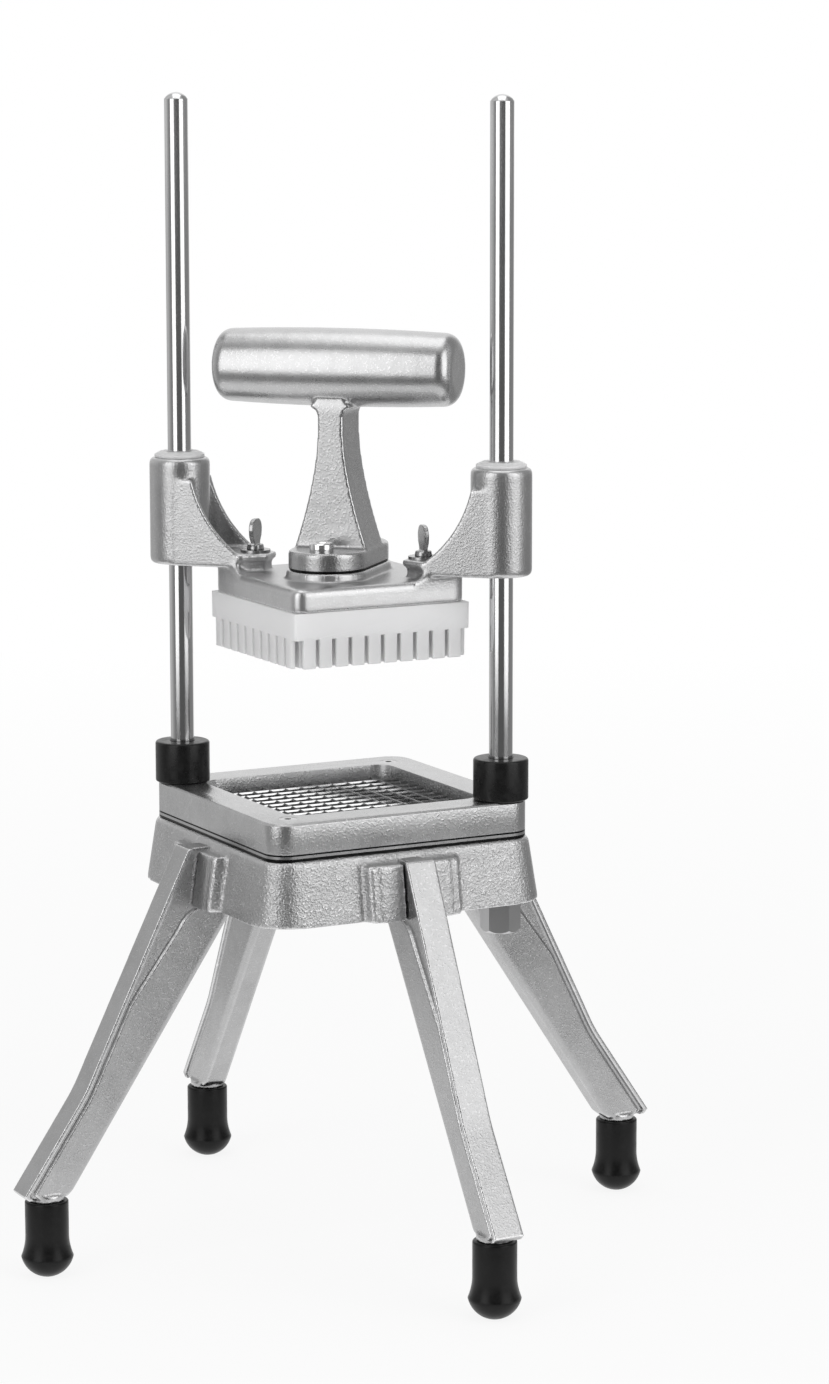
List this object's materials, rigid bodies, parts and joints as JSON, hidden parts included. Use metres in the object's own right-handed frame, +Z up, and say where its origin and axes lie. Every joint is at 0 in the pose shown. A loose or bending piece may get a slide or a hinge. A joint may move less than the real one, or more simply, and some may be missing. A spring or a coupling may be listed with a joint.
{
  "type": "tomato slicer",
  "caption": "Vertical push-down tomato slicer: a T-handled pusher head slides on two guide rods over a square blade grid in a four-legged cast base with rubber feet.",
  "frame": {"origin": "on the floor under the middle of the blade grid", "axes": "+Z up; X and Y run along the sides of the square base; the two guide rods stand at the corners towards -X+Y and +X-Y"},
  "size_m": [0.2962, 0.2962, 0.4814],
  "materials": {
    "base_casting": "sand-cast and tumbled, fine grain",
    "blade_frame": "cast and tumbled, satin",
    "blade_retainer": "satin",
    "legs": "cast and tumbled, satin",
    "pusher_head": "cast and tumbled, satin",
    "t_handle": "cast and tumbled, satin",
    "blades": "ground stainless steel",
    "screws": "bright stainless steel",
    "guide_rods": "polished steel",
    "thumb_screws": "plated, bright",
    "thumb_washers": "plated, bright",
    "feet": "black moulded rubber",
    "bumpers": "black moulded rubber, slightly glossy",
    "push_block": "white food-grade plastic",
    "bushings": "white turned plastic"
  },
  "bodies": {
    "base": {"base_casting": "base_casting", "blade_frame": "blade_frame", "blade_retainer": "blade_retainer", "blades_lengthwise": "blades", "blades_crosswise": "blades", "frame_screws": "screws", "leg_front": "legs", "leg_right": "legs", "leg_back": "legs", "leg_left": "legs", "leg_bolts": "screws", "leg_bolt_washers": "screws", "foot_front": "feet", "foot_right": "feet", "foot_back": "feet", "foot_left": "feet", "guide_rod_left": "guide_rods", "guide_rod_right": "guide_rods", "rod_nut_left": "screws", "rod_nut_right": "screws", "bumper_left": "bumpers", "bumper_right": "bumpers"},
    "head": {"pusher_head": "pusher_head", "bushing_left_upper": "bushings", "bushing_left_lower": "bushings", "bushing_right_upper": "bushings", "bushing_right_lower": "bushings", "push_block": "push_block", "t_handle": "t_handle", "handle_bolts": "screws"},
    "washer_left": {"thumb_washer_left": "thumb_washers"},
    "washer_right": {"thumb_washer_right": "thumb_washers"},
    "screw_left": {"thumb_screw_left": "thumb_screws"},
    "screw_right": {"thumb_screw_right": "thumb_screws"}
  },
  "joints": [
    {"name": "head_slide", "type": "slide", "parent": "base", "child": "head", "axis": [0, 0, 1], "range_m": [-0.0759, 0.146]},
    {"name": "screw_rise_left", "type": "slide", "parent": "head", "child": "washer_left", "axis": [0, 0, 1], "range_m": [0, 0.004]},
    {"name": "screw_turn_left", "type": "hinge", "parent": "washer_left", "child": "screw_left", "pos_m": [-0.02602, 0.02602, 0.2922], "axis": [0, 0, 1], "range_deg": [0, 1800]},
    {"name": "screw_rise_right", "type": "slide", "parent": "head", "child": "washer_right", "axis": [0, 0, 1], "range_m": [0, 0.004]},
    {"name": "screw_turn_right", "type": "hinge", "parent": "washer_right", "child": "screw_right", "pos_m": [0.02602, -0.02602, 0.2922], "axis": [0, 0, 1], "range_deg": [0, 1800]}
  ],
  "couplings": [
    {"joint": "screw_turn_left", "follows": "screw_rise_left", "rad_per_m": 7854},
    {"joint": "screw_turn_right", "follows": "screw_rise_right", "rad_per_m": 7854}
  ]
}
